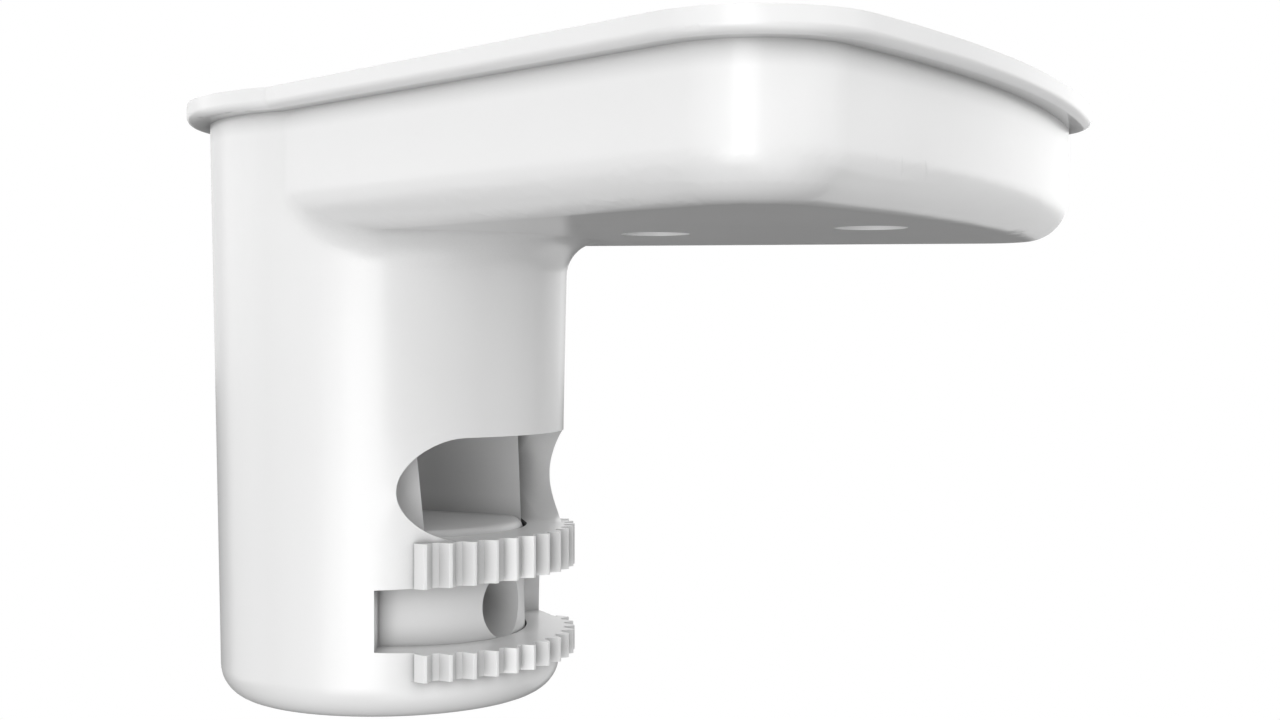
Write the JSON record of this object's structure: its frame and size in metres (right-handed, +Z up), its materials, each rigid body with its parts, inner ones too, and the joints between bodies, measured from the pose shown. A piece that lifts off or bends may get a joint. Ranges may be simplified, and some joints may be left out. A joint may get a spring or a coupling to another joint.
{
  "type": "ceiling mount bracket",
  "caption": "Small moulded ceiling bracket: a flanged arm with screw holes, a hollow column below with a cable opening, and a swivel core behind toothed index rings.",
  "frame": {"origin": "where the column's axis meets the ceiling plane", "axes": "+Z points up into the ceiling, +X runs out along the arm over the bracket's longest side, +Y completes the right-handed frame; the body mirrors in the XZ plane"},
  "size_m": [0.0629, 0.057, 0.0426],
  "materials": {
    "bracket_body": "gloss white moulding",
    "swivel_core": "satin white moulding"
  },
  "bodies": {
    "bracket": {"bracket_body": "bracket_body"},
    "core": {"swivel_core": "swivel_core"}
  },
  "joints": [
    {"name": "core_swivel", "type": "hinge", "parent": "bracket", "child": "core", "pos_m": [0, 0, 0], "axis": [0, 0, 1], "range_deg": [-45, 45]}
  ]
}
